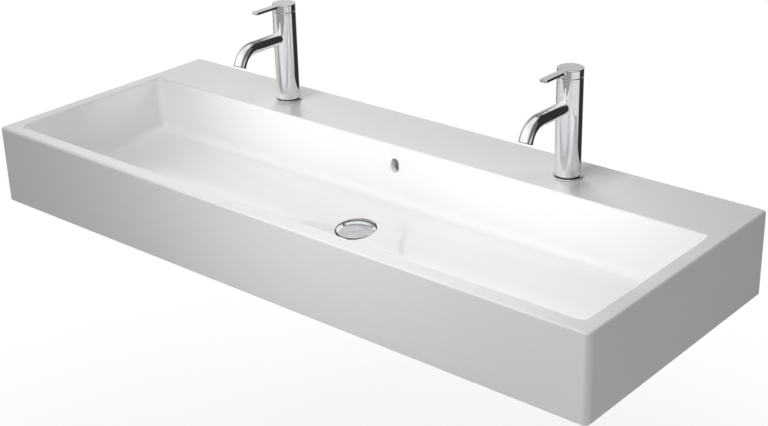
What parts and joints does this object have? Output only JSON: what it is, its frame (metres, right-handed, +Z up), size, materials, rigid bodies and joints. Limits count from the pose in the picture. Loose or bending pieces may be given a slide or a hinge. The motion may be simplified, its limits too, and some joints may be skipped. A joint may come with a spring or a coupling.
{
  "type": "wall-hung washbasin with two mixers",
  "caption": "Wide shallow rectangular wall-hung washbasin with a single-lever mixer near each end of its deck, a push-open waste and an overflow.",
  "frame": {"origin": "middle of the wall bolts, on the back face of the basin", "axes": "+X to the right along the front as a user sees it, +Y towards the wall, +Z up"},
  "size_m": [1.2, 0.47, 0.406],
  "materials": {
    "glaze": "gloss",
    "chrome": "polished",
    "brass": "machined",
    "steel": "satin",
    "rubber": "matte",
    "white_plastic": "satin"
  },
  "bodies": {
    "fixed": {"basin": "glaze", "waste_body": "chrome", "flange_seal": "rubber", "lower_seal": "rubber", "waste_backnut": "brass", "waste_tailpiece": "chrome", "push_guide": "white_plastic", "push_spring": "steel", "left_body": "chrome", "left_core": "brass", "left_base_ring": "chrome", "left_base_gasket": "rubber", "left_spout": "chrome", "left_aerator_housing": "chrome", "left_aerator_screen": "white_plastic", "left_cartridge": "white_plastic", "left_cartridge_nut": "brass", "left_dome_cover": "chrome", "left_stud": "steel", "left_deck_gasket": "rubber", "left_clamp_plate": "steel", "left_stud_nut": "brass", "right_body": "chrome", "right_core": "brass", "right_base_ring": "chrome", "right_base_gasket": "rubber", "right_spout": "chrome", "right_aerator_housing": "chrome", "right_aerator_screen": "white_plastic", "right_cartridge": "white_plastic", "right_cartridge_nut": "brass", "right_dome_cover": "chrome", "right_stud": "steel", "right_deck_gasket": "rubber", "right_clamp_plate": "steel", "right_stud_nut": "brass"},
    "left_turning": {"left_swivel": "white_plastic", "left_tilt_pin": "steel"},
    "left_handle": {"left_stem": "white_plastic", "left_cap": "chrome", "left_lever": "chrome", "left_set_screw": "steel"},
    "right_turning": {"right_swivel": "white_plastic", "right_tilt_pin": "steel"},
    "right_handle": {"right_stem": "white_plastic", "right_cap": "chrome", "right_lever": "chrome", "right_set_screw": "steel"},
    "push_waste": {"push_cap": "chrome", "push_stem": "steel", "push_cap_seal": "rubber"}
  },
  "joints": [
    {"name": "left_temperature", "type": "hinge", "parent": "fixed", "child": "left_turning", "pos_m": [-0.297, -0.067, 0.2304], "axis": [0, 0, 1], "range_deg": [-45, 45]},
    {"name": "left_flow", "type": "hinge", "parent": "left_turning", "child": "left_handle", "pos_m": [-0.297, -0.0625, 0.2304], "axis": [-1, 0, 0], "range_deg": [0, 15]},
    {"name": "right_temperature", "type": "hinge", "parent": "fixed", "child": "right_turning", "pos_m": [0.297, -0.067, 0.2304], "axis": [0, 0, 1], "range_deg": [-45, 45]},
    {"name": "right_flow", "type": "hinge", "parent": "right_turning", "child": "right_handle", "pos_m": [0.297, -0.0625, 0.2304], "axis": [-1, 0, 0], "range_deg": [0, 15]},
    {"name": "waste_push", "type": "slide", "parent": "fixed", "child": "push_waste", "axis": [0, 0, 1], "range_m": [-0.006, 0], "stiffness_N_per_m": 300, "springref_m": 0.02, "deforming": ["push_spring"]}
  ]
}
